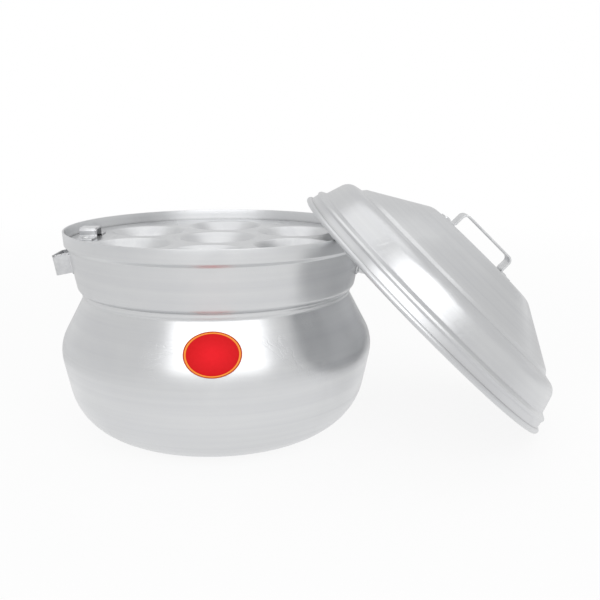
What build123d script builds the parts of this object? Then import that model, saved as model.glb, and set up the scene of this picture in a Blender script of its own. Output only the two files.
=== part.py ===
from build123d import *
import os
from math import asin, atan2, cos, degrees, hypot, pi, radians, sin, tan

# An aluminium idli steamer: a spun pot with a belly, a neck and a straight-sided collar,
# two steaming trays that rest on ledges inside the collar, and a spun lid that leans
# against the pot. Millimetres, +Z up, origin on the floor under the pot's centre.
# The lid leans towards +X. -Y is the front, where the label is.

# sheet and small hardware
pot_wall = 1.6
lid_wall = 1.4
tray_wall = 1.3
strap_thickness = 1.5
rivet_shank_radius = 1.6
rivet_head_radius = 3.2
rivet_head_height = 1.2
rivet_tail_radius = 2.8
rivet_tail_height = 1.0
strap_corner = 3.4
overrun = 2.0
seat_gap = 0.3
least_round = 0.3
round_run_share = 0.98
rim_edge_round = 0.7

# pot, outer surface
pot_height = 188.1
rim_radius = 140.0
rim_band_taper = 1.0
rim_band_height = 12.2
step_width = 3.4
step_height = 3.2
step_corner = 2.2
collar_height = 37.6
collar_taper = 7.4
collar_foot_corner = 7.0
ledge_width = 3.4
ledge_drop = 2.0
neck_bead_height = 5.6
neck_bead_depth = 1.4
neck_corner = 2.4
shoulder_inset = 1.4
belly_overhang = 6.2
belly_height_share = 0.658
belly_round = 36.0
bowl_inset = 17.6
bowl_height_share = 0.021
bowl_round = 55.6
base_radius = 79.0
base_round = 18.5

# side lugs on the collar
lug_span = 34.0
lug_reach = 18.0
lug_strap_width = 19.0
lug_foot = 13.0
lug_below_step = 16.2

# front label
label_width = 47.0
label_height = 33.8
label_thickness = 0.25
label_glue = 0.2
label_place_share = 0.809
label_turn = 3.8

# upper tray: one cup in the middle and a ring of six
tray_clearance = 1.3
tray_edge_margin = 14.6
cup_web = 4.0
cup_mouth_margin = 2.0
cup_floor_inset = 17.5
cup_depth = 19.0
cup_lip_round = 4.5
cup_floor_round = 14.0
upper_ring_cups = 6
steam_hole_radius = 2.2
steam_hole_margin = 13.1
steam_hole_row = 20.0
steam_hole_half_pitch = 6.0

# lower tray: a ring of four cups
lower_ring_cups = 4
lower_cup_web = 5.85
centre_hole_radius = 7.0

# lifting tabs on both trays
tab_span = 20.0
tab_rise = 9.5
tab_strap_width = 16.0
tab_foot = 16.0
tab_edge_margin = 10.4

# lid in its own frame: its rim lies on height 0, its top points up
lid_overhang = 11.4
lid_roll_section = 2.6
lid_band_height = 11.2
lid_band_taper = 1.8
lid_bead_height = 4.0
lid_bead_depth = 0.9
lid_bead_corner = 1.0
lid_notch_rise = 2.7
lid_notch_margin = 2.0
lid_notch_corner = 2.2
lid_bulge_rise = 22.4
lid_bulge_inset = 7.2
lid_bulge_corner = 13.0
lid_crease_rise = 3.0
lid_crease_inset = 14.6
lid_crease_corner = 1.8
lid_cone_rise = 3.5
lid_cone_inset = 2.6
lid_cone_corner = 3.6
lid_top_rise = 32.8
lid_top_radius = 61.5
lid_top_corner = 16.0
lid_apex_rise = 1.2

# how the lid leans: its high edge stands this far above the pot's rim
lid_rise_over_rim = 21.23
rest_samples = 720
rest_tolerance = 0.0003

# lid handle
handle_span = 63.5
handle_offset = 7.2
handle_rise = 17.7
handle_strap_width = 20.0
handle_strap_thickness = 1.6
handle_corner = 6.0
handle_foot = 12.0

# pot surface, worked out from the sizes above
step_top = pot_height - rim_band_height
step_bottom = step_top - step_height
step_top_radius = rim_radius - rim_band_taper
step_bottom_radius = step_top_radius - step_width
collar_foot = step_bottom - collar_height
collar_foot_radius = step_bottom_radius - collar_taper
ledge_radius = collar_foot_radius - ledge_width
ledge_height = collar_foot - ledge_drop
neck_low = ledge_height - neck_bead_height
neck_low_radius = ledge_radius - shoulder_inset
belly_corner_radius = rim_radius + belly_overhang
belly_corner_height = neck_low * belly_height_share
bowl_corner_radius = belly_corner_radius - bowl_inset
bowl_corner_height = neck_low * bowl_height_share

# trays: the ring's cups touch neither each other nor the tray's edge
upper_radius = rim_radius - pot_wall - tray_clearance
lower_radius = collar_foot_radius - pot_wall - tray_clearance
cup_pitch = 360 / upper_ring_cups
lower_cup_pitch = 360 / lower_ring_cups
upper_chord_share = 2 * sin(radians(cup_pitch / 2))
lower_chord_share = 2 * sin(radians(lower_cup_pitch / 2))
cup_circle = upper_radius - tray_edge_margin
cup_mouth_radius = (cup_circle * upper_chord_share - cup_web) / (2 + upper_chord_share)
upper_ring_radius = cup_circle - cup_mouth_radius
lower_ring_radius = (2 * cup_mouth_radius + lower_cup_web) / lower_chord_share

# lid surface and lean
lid_roll_radius = rim_radius + lid_overhang
roll_line_radius = lid_roll_radius - lid_roll_section
lid_bead_top = lid_band_height + lid_bead_height
lid_notch_radius = rim_radius + lid_notch_margin
lid_notch_height = lid_bead_top + lid_notch_rise
lid_bulge_radius = lid_notch_radius - lid_bulge_inset
lid_bulge_height = lid_notch_height + lid_bulge_rise
lid_crease_radius = lid_bulge_radius - lid_crease_inset
lid_crease_height = lid_bulge_height + lid_crease_rise
lid_cone_radius = lid_crease_radius - lid_cone_inset
lid_cone_height = lid_crease_height + lid_cone_rise
lid_top_height = lid_cone_height + lid_top_rise
lid_lean = degrees(asin((pot_height + lid_rise_over_rim) / (2 * roll_line_radius)))


def pot_line():
    """Outer surface of the pot in the XZ plane, from the base centre up to the rim."""
    corners = [
        (0, 0, 0),
        (base_radius, 0, base_round),
        (bowl_corner_radius, bowl_corner_height, bowl_round),
        (belly_corner_radius, belly_corner_height, belly_round),
        (neck_low_radius, neck_low, neck_corner),
        (neck_low_radius + neck_bead_depth, neck_low + neck_bead_height / 2, neck_corner),
        (ledge_radius, ledge_height, neck_corner),
        (collar_foot_radius, collar_foot, collar_foot_corner),
        (step_bottom_radius, step_bottom, step_corner),
        (step_top_radius, step_top, step_corner),
        (rim_radius, pot_height, 0),
    ]
    return corners


def lid_line():
    """Outer surface of the lid in its own frame, from the rim up to the middle of the top."""
    band_radius = roll_line_radius
    bead_radius = band_radius - lid_band_taper
    bead_middle = lid_band_height + lid_bead_height / 2
    return [
        (band_radius, lid_roll_section, 0),
        (bead_radius, lid_band_height, lid_bead_corner),
        (bead_radius + lid_bead_depth, bead_middle, lid_bead_corner),
        (bead_radius, lid_bead_top, lid_bead_corner),
        (lid_notch_radius, lid_notch_height, lid_notch_corner),
        (lid_bulge_radius, lid_bulge_height, lid_bulge_corner),
        (lid_crease_radius, lid_crease_height, lid_crease_corner),
        (lid_cone_radius, lid_cone_height, lid_cone_corner),
        (lid_top_radius, lid_top_height, lid_top_corner),
        (0, lid_top_height + lid_apex_rise, 0),
    ]


def fitted_rounds(corners):
    """The radius of each inner corner, cut down where two rounds would meet on a run."""
    points = [Vector(radius, height) for radius, height, _ in corners]
    runs = [end - start for start, end in zip(points, points[1:])]
    needs = [0]
    for before, after, (_, _, radius) in zip(runs, runs[1:], corners[1:-1]):
        needs.append(radius * tan(radians(before.get_angle(after) / 2)))
    needs.append(0)
    shares = [run.length * round_run_share / max(start + end, run.length * round_run_share)
              for run, start, end in zip(runs, needs, needs[1:])]
    return [radius * min(before, after)
            for (_, _, radius), before, after in zip(corners[1:-1], shares, shares[1:])]


def outline(corners):
    """A line through the corners, rounded at each inner one by its own radius."""
    points = [(radius, height) for radius, height, _ in corners]
    return FilletPolyline(*points, radius=fitted_rounds(corners))


def turned(face):
    """A face drawn as radius and height, turned once round the Z axis."""
    return revolve(Plane.XZ * face, Axis.Z)


def inner_corners(corners, thickness):
    """The corners of the sheet's other surface: a thickness to the line's left, or right if negative."""
    points = [Vector(radius, height) for radius, height, _ in corners]
    ways = [(end - start).normalized() for start, end in zip(points, points[1:])]
    moved = []
    for k, (radius, _, round_radius) in enumerate(corners):
        before, after = ways[max(k - 1, 0)], ways[min(k, len(ways) - 1)]
        sides = [Vector(-way.Y, way.X) for way in (before, after)]
        shift = (sides[0] + sides[1]) * (thickness / (1 + sides[0].dot(sides[1])))
        point = points[k] + shift
        if radius == 0:
            point -= after * (point.X / after.X)
        turns_left = before.X * after.Y > before.Y * after.X
        inner_round = round_radius - thickness if turns_left else round_radius + thickness
        moved.append((point.X, point.Y, max(inner_round, least_round)))
    return moved


def spun_sheet(corners, thickness):
    """Sheet of one thickness whose outer surface follows the corners."""
    inner = inner_corners(corners, thickness)
    edges = outline(corners).edges() + outline(inner).edges()
    for end in (0, -1):
        edges += Line(corners[end][:2], inner[end][:2]).edges()
    return turned(make_face(edges))


def filled(corners):
    """The space inside an outer surface, closed along the axis and across the open end."""
    first, last = corners[0][:2], corners[-1][:2]
    closing = [last, (0, last[1]), (0, first[1]), first]
    closing_edges = []
    for start, end in zip(closing, closing[1:]):
        if start != end:
            closing_edges += Line(start, end).edges()
    return turned(make_face(outline(corners).edges() + closing_edges))


def strap_bail(span, rise, width, thickness, corner, sink):
    """A flat strap bent square: two legs that start below height 0 and a bar across them."""
    half = span / 2
    path = FilletPolyline((-half, -sink), (-half, rise), (half, rise), (half, -sink), radius=corner)
    band = offset(path, amount=thickness, side=Side.RIGHT, closed=True)
    return extrude(Plane.XZ * make_face(band), width / 2, both=True)


def foot_pads(span, foot, width, depth):
    """Two blocks that stand out from the foot of each leg, to cut the strap's feet with."""
    length = foot + strap_thickness
    pad = Box(length, width, depth * 2)
    centre = span / 2 + foot / 2 - strap_thickness / 2
    return Pos(centre, 0, 0) * pad + Pos(-centre, 0, 0) * pad


def rivet_head():
    """The domed head of a rivet, its flat side on height 0."""
    dome = (rivet_head_radius**2 + rivet_head_height**2) / (2 * rivet_head_height)
    ball = Pos(0, 0, rivet_head_height - dome) * Sphere(dome)
    return ball & Pos(0, 0, rivet_head_height / 2) * Cylinder(rivet_head_radius, rivet_head_height)


def rivet(grip):
    """A set rivet about Z, its head on height 0 and its flat tail under a grip's depth."""
    shank = Pos(0, 0, -grip / 2) * Cylinder(rivet_shank_radius, grip)
    tail = Pos(0, 0, -grip - rivet_tail_height / 2) * Cylinder(rivet_tail_radius, rivet_tail_height)
    return rivet_head() + shank + tail


def drill(grip):
    """The hole that a rivet's shank fills."""
    return Pos(0, 0, -grip / 2) * Cylinder(rivet_shank_radius, grip + 2 * overrun)


def inner_height(shell, radius, above, below):
    """Height of the shell's inner surface at a radius, between two heights."""
    hits = shell.find_intersection_points(Axis((radius, 0, 0), (0, 0, 1)))
    return max(point.Z for point, normal in hits if below < point.Z < above)


def cup_sheet():
    """One pressed cup with a flat lip, its upper surface on height 0."""
    lip_radius = cup_mouth_radius - 2 * cup_mouth_margin
    corners = [
        (cup_mouth_radius, 0, 0),
        (lip_radius, 0, cup_lip_round),
        (lip_radius - cup_floor_inset, -cup_depth, cup_floor_round),
        (0, -cup_depth, 0),
    ]
    return spun_sheet(corners, tray_wall)


def around(ring_radius, count, first_angle):
    """Places on a ring, each turned to face away from the axis."""
    return [Rot(0, 0, first_angle + 360 * k / count) * Pos(ring_radius, 0, 0) for k in range(count)]


def steam_holes(tray_radius, angle):
    """Three small holes in the web outside two cups."""
    outer_ring = tray_radius - steam_hole_margin
    half_angle = degrees(steam_hole_half_pitch / outer_ring)
    hole = Cylinder(steam_hole_radius, 2 * cup_depth)
    places = [
        Rot(0, 0, angle - half_angle) * Pos(outer_ring, 0, 0),
        Rot(0, 0, angle + half_angle) * Pos(outer_ring, 0, 0),
        Rot(0, 0, angle) * Pos(outer_ring - steam_hole_row, 0, 0),
    ]
    return [place * hole for place in places]


def tray_plate(radius, cup_places, hole_angles):
    """A flat tray with pressed cups and steam holes, its upper surface on height 0."""
    plate = Pos(0, 0, -tray_wall / 2) * Cylinder(radius, tray_wall)
    for place in cup_places:
        plate -= place * Cylinder(cup_mouth_radius - cup_mouth_margin / 2, 2 * cup_depth)
    for place in cup_places:
        plate += place * cup_sheet()
    for angle in hole_angles:
        for hole in steam_holes(radius, angle):
            plate -= hole
    return plate


def tab_places(tray_radius):
    """The two opposite places of a tray's lifting tabs, strap across the radius."""
    centre = tray_radius - tab_edge_margin - tab_strap_width / 2
    return [Rot(0, 0, angle) * Pos(centre, 0, 0) * Rot(0, 0, 90) for angle in (180, 0)]


def lifting_tab():
    """A small strap loop that stands on a flat plate at height 0."""
    bail = strap_bail(tab_span, tab_rise, tab_strap_width, strap_thickness, strap_corner, 0)
    feet = foot_pads(tab_span, tab_foot, tab_strap_width, strap_thickness)
    slab = Pos(0, 0, strap_thickness / 2) * Box(4 * tab_span, 4 * tab_span, strap_thickness)
    return bail + (feet & slab)


def foot_rivets(span, foot):
    """The places of the two rivets of a strap, in the strap's own frame."""
    centre = span / 2 + foot / 2
    return [Pos(centre, 0, 0), Pos(-centre, 0, 0)]


def dressed_tray(plate, tray_radius, height):
    """A tray with its two tabs and four rivets, all lifted to the tray's height."""
    grip = strap_thickness + tray_wall
    tab = lifting_tab()
    rivets = []
    for place in foot_rivets(tab_span, tab_foot):
        tab -= place * Pos(0, 0, strap_thickness) * drill(strap_thickness)
    tabs = []
    for place in tab_places(tray_radius):
        tabs.append(Pos(0, 0, height) * place * tab)
        for rivet_place in foot_rivets(tab_span, tab_foot):
            seat = place * rivet_place * Pos(0, 0, strap_thickness)
            plate -= seat * drill(grip)
            rivets.append(Pos(0, 0, height) * seat * rivet(grip))
    return Pos(0, 0, height) * plate, tabs, rivets


def collar_skin():
    """A ring of strap thickness that lies on the collar's outer surface."""
    low = (collar_foot_radius, collar_foot)
    high = (step_bottom_radius, step_bottom)
    line = Polyline(low, high)
    band = offset(line, amount=strap_thickness, side=Side.RIGHT, closed=True)
    return turned(make_face(band))


def lug_frame():
    """The frame on the collar at +X: X along the girth, Y up the wall, Z out of the wall."""
    slope = atan2(collar_taper, collar_height)
    height = step_bottom - lug_below_step
    radius = step_bottom_radius - lug_below_step * collar_taper / collar_height
    outward = (cos(slope), 0, -sin(slope))
    return Plane(origin=(radius, 0, height), x_dir=(0, 1, 0), z_dir=outward)


def side_lug(pot_space):
    """The strap loop on the collar at +X, with its feet bent to the collar's curve."""
    frame = lug_frame().location
    sink = lug_span
    bail = strap_bail(lug_span, lug_reach, lug_strap_width, strap_thickness, strap_corner, sink)
    feet = foot_pads(lug_span, lug_foot, lug_strap_width, lug_reach)
    return (frame * bail - pot_space) + (frame * feet & collar_skin())


def lug_rivet_places():
    """The two places of a lug's rivets on the outside of its feet, square to the collar."""
    frame = lug_frame()
    along = lug_span / 2 + lug_foot / 2
    angle = degrees(asin(along / frame.origin.X))
    out = frame.z_dir * strap_thickness
    seat = Plane(origin=frame.origin + out, x_dir=(0, 1, 0), z_dir=frame.z_dir).location
    return [Rot(0, 0, angle) * seat, Rot(0, 0, -angle) * seat]


def front_label():
    """A thin oval sticker on its layer of glue on the shoulder, at the front."""
    skin = spun_sheet(inner_corners(pot_line(), -label_glue), -label_thickness)
    height = neck_low * label_place_share
    prism = extrude(Ellipse(label_width / 2, label_height / 2), rim_radius * 2)
    front = Plane(origin=(0, 0, height), x_dir=(1, 0, 0), z_dir=(0, -1, 0)).location
    return Rot(0, 0, label_turn) * (skin & (front * prism))


def rim_clearance(offset_x, centre_height):
    """Least distance between the middle of the lid's roll and the middle of the pot's edge."""
    lean = radians(lid_lean)
    edge_radius = rim_radius - pot_wall / 2
    edge_height = pot_height - pot_wall / 2
    least = lid_roll_radius
    for k in range(rest_samples):
        turn = 2 * pi * k / rest_samples
        along, across = roll_line_radius * cos(turn), roll_line_radius * sin(turn)
        x = offset_x + along * cos(lean) + lid_roll_section * sin(lean)
        z = centre_height - along * sin(lean) + lid_roll_section * cos(lean)
        least = min(least, hypot(hypot(x, across) - edge_radius, z - edge_height))
    return least


def lid_location():
    """Where the lid leans: its roll on the floor at the far side and on the pot's edge."""
    lean = radians(lid_lean)
    height = roll_line_radius * sin(lean) + lid_roll_section * (1 - cos(lean))
    wanted = lid_roll_section + pot_wall / 2 + seat_gap
    near = rim_radius + lid_roll_radius
    while rim_clearance(near, height) > wanted:
        near -= pot_wall
    far = near + pot_wall
    while far - near > rest_tolerance:
        middle = (near + far) / 2
        if rim_clearance(middle, height) < wanted:
            near = middle
        else:
            far = middle
    return Pos(far, 0, height) * Rot(0, lid_lean, 0)


def rolled_rim():
    """The wired roll round the edge of the lid."""
    return Pos(0, 0, lid_roll_section) * Torus(roll_line_radius, lid_roll_section)


def lid_parts():
    """The lid's shell, handle and rivets in the lid's own frame."""
    space = filled(lid_line())
    shell = spun_sheet(lid_line(), lid_wall) + rolled_rim()
    skin = Pos(0, 0, handle_strap_thickness) * space - space
    base = lid_top_height
    sink = lid_top_height / 2
    bail = strap_bail(handle_span, handle_rise, handle_strap_width, handle_strap_thickness,
                      handle_corner, sink)
    feet = foot_pads(handle_span, handle_foot, handle_strap_width, handle_rise)
    stand = Pos(-handle_offset, 0, base)
    handle = (stand * bail - space) + (stand * feet & skin)
    grip = handle_strap_thickness + lid_wall
    centre = handle_span / 2 + handle_foot / 2
    slope = degrees(atan2(lid_apex_rise, lid_top_radius))
    rivets = []
    for side in (1, -1):
        along = side * centre - handle_offset
        seat_height = base + lid_apex_rise * (1 - abs(along) / lid_top_radius)
        seat = Pos(along, 0, seat_height) * Rot(0, side * slope, 0) * Pos(0, 0, handle_strap_thickness)
        handle -= seat * drill(grip)
        shell -= seat * drill(grip)
        rivets.append(seat * rivet(grip) - shell)
    return shell, handle, rivets


def build():
    """Every node by its name."""
    pot_space = filled(pot_line())
    pot = spun_sheet(pot_line(), pot_wall)
    pot = fillet(pot.edges().filter_by(GeomType.CIRCLE).group_by(Axis.Z)[-2:], rim_edge_round)
    lug = side_lug(pot_space)
    grip = strap_thickness + pot_wall
    lug_rivets = []
    for seat in lug_rivet_places():
        lug -= seat * drill(grip)
        for turn in (0, 180):
            pot -= Rot(0, 0, turn) * seat * drill(grip)
        lug_rivets.append(seat * rivet(grip) - pot)

    upper_seat = inner_height(pot, upper_radius, pot_height, collar_foot)
    upper_height = upper_seat + seat_gap + tray_wall
    lower_seat = inner_height(pot, lower_radius, step_bottom, neck_low)
    lower_height = lower_seat + seat_gap + tray_wall

    upper_cups = [Pos(0, 0, 0)] + around(upper_ring_radius, upper_ring_cups, 90)
    upper_holes = [cup_pitch, 2 * cup_pitch, -cup_pitch, -2 * cup_pitch]
    upper = tray_plate(upper_radius, upper_cups, upper_holes)
    lower_cups = around(lower_ring_radius, lower_ring_cups, lower_cup_pitch / 2)
    lower = tray_plate(lower_radius, lower_cups, [90, -90])
    lower -= Cylinder(centre_hole_radius, 2 * cup_depth)
    upper, upper_tabs, upper_rivets = dressed_tray(upper, upper_radius, upper_height)
    lower, lower_tabs, lower_rivets = dressed_tray(lower, lower_radius, lower_height)

    lid_shell, lid_handle, lid_rivets = lid_parts()
    lean = lid_location()
    return {
        "pot_shell": pot,
        "right_lug": lug,
        "left_lug": Rot(0, 0, 180) * lug,
        "right_lug_rivets": Compound(children=lug_rivets),
        "left_lug_rivets": Compound(children=[Rot(0, 0, 180) * r for r in lug_rivets]),
        "front_label": front_label(),
        "upper_tray": upper,
        "upper_left_tab": upper_tabs[0],
        "upper_right_tab": upper_tabs[1],
        "upper_tab_rivets": Compound(children=upper_rivets),
        "lower_tray": lower,
        "lower_left_tab": lower_tabs[0],
        "lower_right_tab": lower_tabs[1],
        "lower_tab_rivets": Compound(children=lower_rivets),
        "lid_shell": lean * lid_shell,
        "lid_handle": lean * lid_handle,
        "lid_handle_rivets": Compound(children=[lean * r for r in lid_rivets]),
    }


def main():
    """Write one file for each node."""
    os.makedirs("parts", exist_ok=True)
    for name, solid in build().items():
        export_step(solid, f"parts/{name}.step")


main()
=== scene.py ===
import logging
import math
from collections.abc import Callable
from dataclasses import dataclass, field
from enum import Enum

import bpy
from mathutils import Matrix, Vector


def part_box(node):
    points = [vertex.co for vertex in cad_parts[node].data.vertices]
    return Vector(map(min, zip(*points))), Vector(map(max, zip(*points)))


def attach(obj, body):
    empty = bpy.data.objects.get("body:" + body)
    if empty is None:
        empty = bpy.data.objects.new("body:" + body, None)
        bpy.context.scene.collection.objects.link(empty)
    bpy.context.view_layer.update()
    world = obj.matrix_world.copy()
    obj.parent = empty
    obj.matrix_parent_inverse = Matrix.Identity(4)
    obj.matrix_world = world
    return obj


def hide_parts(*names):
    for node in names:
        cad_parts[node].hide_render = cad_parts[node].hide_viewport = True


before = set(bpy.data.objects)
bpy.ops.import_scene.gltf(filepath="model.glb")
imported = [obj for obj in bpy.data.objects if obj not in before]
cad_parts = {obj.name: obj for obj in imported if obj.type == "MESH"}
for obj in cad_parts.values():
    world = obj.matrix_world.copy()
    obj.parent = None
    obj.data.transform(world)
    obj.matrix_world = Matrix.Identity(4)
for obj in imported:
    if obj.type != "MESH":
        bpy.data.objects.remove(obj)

MM = 0.001
ROUND_STEPS = 192  # faces round the pot, the lid and the trays
ONE_PLACE = 0.000004  # vertices nearer than this, in metres, are one
LEAST_TURN = 0.001  # a smaller turn, in radians, is no corner
log = logging.getLogger("idli_steamer")

Corner = tuple[float, float, float]
Point = tuple[float, float]
Socket = bpy.types.NodeSocket


class Body(Enum):
    """The moving bodies of the model, by their names in the frame."""

    POT = "pot"
    UPPER_TRAY = "upper_tray"
    LOWER_TRAY = "lower_tray"
    LID = "lid"


class Slot(Enum):
    """The material slots that the record lists."""

    SPUN = "spun_aluminium"
    PRESSED = "pressed_aluminium"
    STRAP = "strap_aluminium"
    RIVET = "rivet_aluminium"
    LABEL = "label"


# Outlines and places


def rounded_line(corners: list[Corner], arc_step: float = 7.5,
                 run_step: float = 9.0) -> list[Point]:
    """Round each inner corner of a line and divide its straight runs.

    Args:
        corners: Radius or length, height and rounding radius of each corner, in mm.
        arc_step: Degrees of turn between points on a rounded corner.
        run_step: The longest straight step, in mm.

    Returns:
        The points of the line, in mm.
    """
    arcs: list[list[Vector]] = [[Vector(corners[0][:2])]]
    for before, here, after in zip(corners, corners[1:], corners[2:]):
        corner = Vector(here[:2])
        way_in = (corner - Vector(before[:2])).normalized()
        way_out = (Vector(after[:2]) - corner).normalized()
        turn = way_in.angle(way_out)
        if here[2] == 0 or turn < LEAST_TURN:
            arcs.append([corner])
            continue
        side = 1 if way_in.cross(way_out) > 0 else -1
        start = corner - way_in * here[2] * math.tan(turn / 2)
        centre = start + Vector((-way_in.y, way_in.x)) * here[2] * side
        count = max(2, math.ceil(math.degrees(turn) / arc_step))
        spoke = start - centre
        arcs.append([centre + Matrix.Rotation(side * turn * k / count, 2) @ spoke
                     for k in range(count + 1)])
    arcs.append([Vector(corners[-1][:2])])
    line: list[Point] = [tuple(arcs[0][0])]
    for arc in arcs[1:]:
        start, end = Vector(line[-1]), arc[0]
        steps = max(1, math.ceil((end - start).length / run_step))
        line += [tuple(start.lerp(end, k / steps)) for k in range(1, steps)]
        line += [tuple(point) for point in arc]
    return line


def radius_at(line: list[Point], height: float) -> float:
    """Find the radius of a turned outline where it last passes a height.

    Args:
        line: Radius and height of each point, in mm.
        height: The height in mm.

    Returns:
        The radius in mm.
    """
    found = 0.0
    for (r0, z0), (r1, z1) in zip(line, line[1:]):
        if min(z0, z1) <= height <= max(z0, z1) and z0 != z1:
            found = r0 + (r1 - r0) * (height - z0) / (z1 - z0)
    return found


def moved(x: float, y: float, z: float) -> Matrix:
    """A move in mm."""
    return Matrix.Translation(Vector((x, y, z)) * MM)


def turned(degrees: float, axis: str) -> Matrix:
    """A turn about one axis."""
    return Matrix.Rotation(math.radians(degrees), 4, axis)


@dataclass(frozen=True)
class Axis:
    """The axis a piece was turned about: its zero in mm and its lean to +X in degrees."""

    centre: tuple[float, float, float] = (0.0, 0.0, 0.0)
    lean: float = 0.0

    def matrix(self) -> Matrix:
        """The turned piece's own frame."""
        return moved(*self.centre) @ turned(self.lean, "Y")


# Modelling by hand


def nothing_selected() -> None:
    """Leave edit mode and deselect every object."""
    if bpy.context.object and bpy.context.object.mode != "OBJECT":
        bpy.ops.object.mode_set(mode="OBJECT")
    bpy.ops.object.select_all(action="DESELECT")


def object_mode(obj: bpy.types.Object) -> None:
    """Leave edit mode and keep only one object selected and active.

    Args:
        obj: That object.
    """
    nothing_selected()
    obj.select_set(True)
    bpy.context.view_layer.objects.active = obj


def edit_mode(obj: bpy.types.Object) -> None:
    """Open an object in edit mode with everything in it selected.

    Args:
        obj: The object.
    """
    object_mode(obj)
    bpy.ops.object.mode_set(mode="EDIT")
    bpy.ops.mesh.select_all(action="SELECT")


def drawn_line(name: str, points: list[Vector]) -> bpy.types.Object:
    """Draw a line by extruding one vertex from point to point.

    Args:
        name: The object's name.
        points: The points of the line, in metres.

    Returns:
        A mesh object that holds the line's edges, left in edit mode.
    """
    nothing_selected()
    bpy.ops.mesh.primitive_plane_add(size=MM, location=(0, 0, 0))
    obj = bpy.context.object
    obj.name = name
    bpy.ops.object.mode_set(mode="EDIT")
    bpy.ops.mesh.select_mode(type="VERT")
    bpy.ops.mesh.select_all(action="SELECT")
    bpy.ops.mesh.merge(type="CENTER")
    bpy.ops.transform.translate(value=points[0])
    for start, end in zip(points, points[1:]):
        bpy.ops.mesh.extrude_region_move(TRANSFORM_OT_translate={"value": end - start})
    bpy.ops.mesh.select_all(action="SELECT")
    return obj


def settle_faces(obj: bpy.types.Object) -> None:
    """Merge doubled vertices and make all faces look the same way.

    Args:
        obj: The object, left in object mode.
    """
    edit_mode(obj)
    bpy.ops.mesh.remove_doubles(threshold=ONE_PLACE)
    bpy.ops.mesh.normals_make_consistent(inside=False)
    bpy.ops.object.mode_set(mode="OBJECT")


def flip_faces(obj: bpy.types.Object) -> None:
    """Turn every face of an object round.

    Args:
        obj: The object, left in object mode.
    """
    edit_mode(obj)
    bpy.ops.mesh.flip_normals()
    bpy.ops.object.mode_set(mode="OBJECT")


def spun(name: str, line: list[Point], steps: int = ROUND_STEPS) -> bpy.types.Object:
    """Spin a line of radii and heights once round the Z axis.

    Args:
        name: The object's name.
        line: Radius and height of each point, in mm.
        steps: How many steps make the full turn.

    Returns:
        The open shell, with its faces turned away from the line's left.
    """
    obj = drawn_line(name, [Vector((radius, 0, height)) * MM for radius, height in line])
    bpy.ops.mesh.spin(steps=steps, angle=math.tau, center=(0, 0, 0), axis=(0, 0, 1))
    settle_faces(obj)
    (r0, z0), (r1, z1) = max(zip(line, line[1:]),
                             key=lambda run: (run[0][0] + run[1][0]) * math.dist(*run))
    radius = (r0 + r1) / 2 * MM
    height = (z0 + z1) / 2 * MM
    widest = min(obj.data.polygons, key=lambda face: abs(face.center.z - height)
                 + abs(face.center.xy.length - radius))
    outward = widest.normal.xy.dot(widest.center.xy.normalized())
    if outward * (z1 - z0) < widest.normal.z * (r1 - r0):
        flip_faces(obj)
    return obj


def thicken(obj: bpy.types.Object, wall: float, bevel: float, angle: float = 50.0,
            segments: int = 3) -> None:
    """Give a shell its wall, behind its faces, and soften the cut edges.

    Args:
        obj: The shell.
        wall: Wall thickness in mm.
        bevel: Width of the softened edge in mm, or zero for none.
        angle: Edges that turn by more than this, in degrees, are softened.
        segments: How many faces cross a softened edge.
    """
    solidify = obj.modifiers.new("Wall", "SOLIDIFY")
    solidify.thickness = wall * MM
    solidify.offset = -1
    solidify.use_even_offset = True
    if bevel:
        soften = obj.modifiers.new("Edges", "BEVEL")
        soften.limit_method = "ANGLE"
        soften.angle_limit = math.radians(angle)
        soften.width = bevel * MM
        soften.segments = segments
        soften.use_clamp_overlap = True
    object_mode(obj)
    for modifier in list(obj.modifiers):
        bpy.ops.object.modifier_apply(modifier=modifier.name)


def smooth(obj: bpy.types.Object, angle: float = 38.0) -> None:
    """Shade an object smooth, except across edges sharper than an angle in degrees."""
    object_mode(obj)
    bpy.ops.object.shade_smooth_by_angle(angle=math.radians(angle))


def copied(obj: bpy.types.Object) -> bpy.types.Object:
    """Copy an object, with a mesh of its own.

    Args:
        obj: The object.

    Returns:
        The copy.
    """
    object_mode(obj)
    bpy.ops.object.duplicate(linked=False)
    return bpy.context.object


def placed(obj: bpy.types.Object, matrix: Matrix) -> bpy.types.Object:
    """Move an object by a matrix and put the move into its mesh.

    Args:
        obj: The object.
        matrix: The move.

    Returns:
        The same object.
    """
    object_mode(obj)
    obj.matrix_world = matrix
    bpy.ops.object.transform_apply(location=True, rotation=True, scale=True)
    return obj


def joined(name: str, objects: list[bpy.types.Object]) -> bpy.types.Object:
    """Join objects into the first of them.

    Args:
        name: The name of the result.
        objects: The objects.

    Returns:
        The first object, which now holds them all.
    """
    object_mode(objects[0])
    for obj in objects:
        obj.select_set(True)
    bpy.ops.object.join()
    objects[0].name = name
    return objects[0]


def finished(obj: bpy.types.Object, material: bpy.types.Material, body: Body, slot: Slot,
             *nodes: str) -> None:
    """Dress a piece and let it stand for the model's own solid.

    Args:
        obj: The finished piece.
        material: Its material.
        body: The body that it rides on.
        slot: The record's slot for its finish; not used.
        nodes: The nodes that it replaces.
    """
    obj.data.materials.clear()
    obj.data.materials.append(material)
    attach(obj, body.value)
    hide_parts(*nodes)


# Finishes. Noise lies mostly between 0.3 and 0.7. A window is the part of it that a pattern
# is stretched over, and a rate is how many cells of it lie along a metre.

EVEN_WINDOW = (0.3, 0.7)
WHITE = "#FFFFFF"


def hex_colour(code: str) -> tuple[float, float, float, float]:
    """Work out a linear colour.

    Args:
        code: A hash sign and six sRGB hex digits.

    Returns:
        Red, green, blue and a full alpha.
    """
    parts = [int(code[k:k + 2], 16) / 255 for k in (1, 3, 5)]
    linear = [c / 12.92 if c <= 0.04045 else ((c + 0.055) / 1.055) ** 2.4 for c in parts]
    return (*linear, 1.0)


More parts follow.
